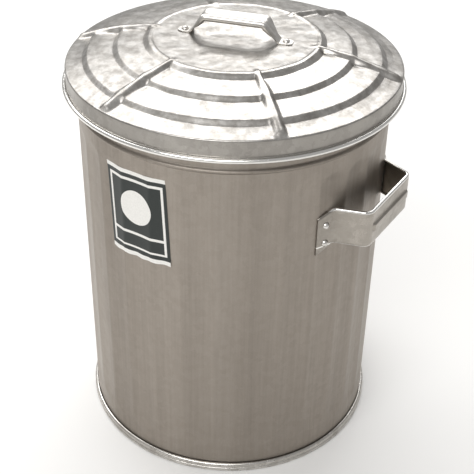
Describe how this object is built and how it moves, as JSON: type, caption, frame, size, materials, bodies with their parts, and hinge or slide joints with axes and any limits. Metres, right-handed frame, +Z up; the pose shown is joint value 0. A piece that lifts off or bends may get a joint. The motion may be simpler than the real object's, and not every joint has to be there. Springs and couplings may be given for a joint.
{
  "type": "galvanised waste can",
  "caption": "Round galvanised steel waste can with fluted wall, riveted side handles and a loose ribbed lid that lifts off and turns.",
  "frame": {"origin": "centre of the can's footprint, on the surface that it stands on", "axes": "+Z up along the can's axis, +X towards the right handle, -Y towards the label"},
  "size_m": [0.4996, 0.4634, 0.6233],
  "materials": {
    "galvanised_body": "hot-dip galvanised, faint spangle with upright streaks",
    "galvanised_base": "hot-dip galvanised, dull",
    "galvanised_lid": "hot-dip galvanised, bright",
    "galvanised_handle": "hot-dip galvanised, bright edges",
    "rivet_steel": "zinc-coated, worn bright on the head",
    "rim_wire": "drawn steel wire",
    "label_sheet": "printed vinyl sticker"
  },
  "bodies": {
    "can": {"body_shell": "galvanised_body", "rim_wire": "rim_wire", "base_pan": "galvanised_base", "base_hoop": "galvanised_base", "handle_right": "galvanised_handle", "handle_left": "galvanised_handle", "handle_right_rivet_1": "rivet_steel", "handle_right_rivet_2": "rivet_steel", "handle_right_rivet_3": "rivet_steel", "handle_right_rivet_4": "rivet_steel", "handle_left_rivet_1": "rivet_steel", "handle_left_rivet_2": "rivet_steel", "handle_left_rivet_3": "rivet_steel", "handle_left_rivet_4": "rivet_steel", "label": "label_sheet"},
    "lid_wire": {"lid_rim_wire": "rim_wire"},
    "lid": {"lid_shell": "galvanised_lid", "lid_handle": "galvanised_handle", "lid_handle_rivet_1": "rivet_steel", "lid_handle_rivet_2": "rivet_steel"}
  },
  "joints": [
    {"name": "lid_lift", "type": "slide", "parent": "can", "child": "lid_wire", "axis": [0, 0, 1], "range_m": [0, 0.2]},
    {"name": "lid_turn", "type": "hinge", "parent": "lid_wire", "child": "lid", "pos_m": [0, 0, 0.55], "axis": [0, 0, 1], "continuous": true}
  ]
}
